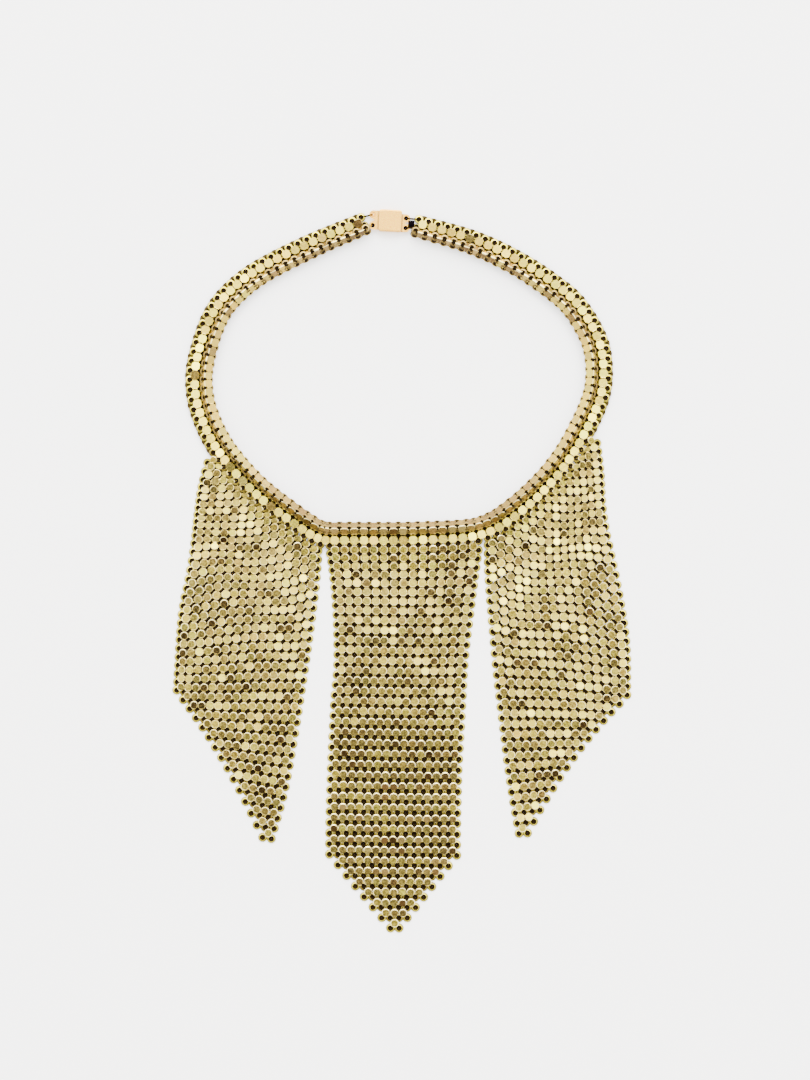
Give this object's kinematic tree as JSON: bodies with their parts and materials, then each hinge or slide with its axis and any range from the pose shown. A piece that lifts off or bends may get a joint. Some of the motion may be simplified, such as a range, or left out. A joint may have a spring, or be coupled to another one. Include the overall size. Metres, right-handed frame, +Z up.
{
  "type": "bib necklace",
  "caption": "Bib necklace of gold-tone ring-and-plate metal mesh: a folded neck band with a box clasp carries a pointed centre panel and two slanted side panels",
  "frame": {"origin": "bottom centre of the bounding box, on the surface that the necklace lies on", "axes": "+X across to the wearer's left when worn, +Y from the centre panel's point towards the clasp, +Z up from the surface through the face of the mesh"},
  "size_m": [0.1664, 0.2652, 0.0056],
  "materials": {
    "mesh_metal": "gold-tone plated, polished plates and rings with dark gaps",
    "clasp_metal": "gold-tone plated, finely stippled satin",
    "link_metal": "gold-tone plated, polished wire"
  },
  "bodies": {
    "root": {"neck_band_left": "mesh_metal", "neck_band_right": "mesh_metal", "panel_left": "mesh_metal", "panel_centre": "mesh_metal", "panel_right": "mesh_metal", "clasp_box": "clasp_metal", "clasp_tongue": "clasp_metal", "link_left_upper": "link_metal", "link_left_lower": "link_metal", "link_right_upper": "link_metal", "link_right_lower": "link_metal"}
  },
  "joints": []
}
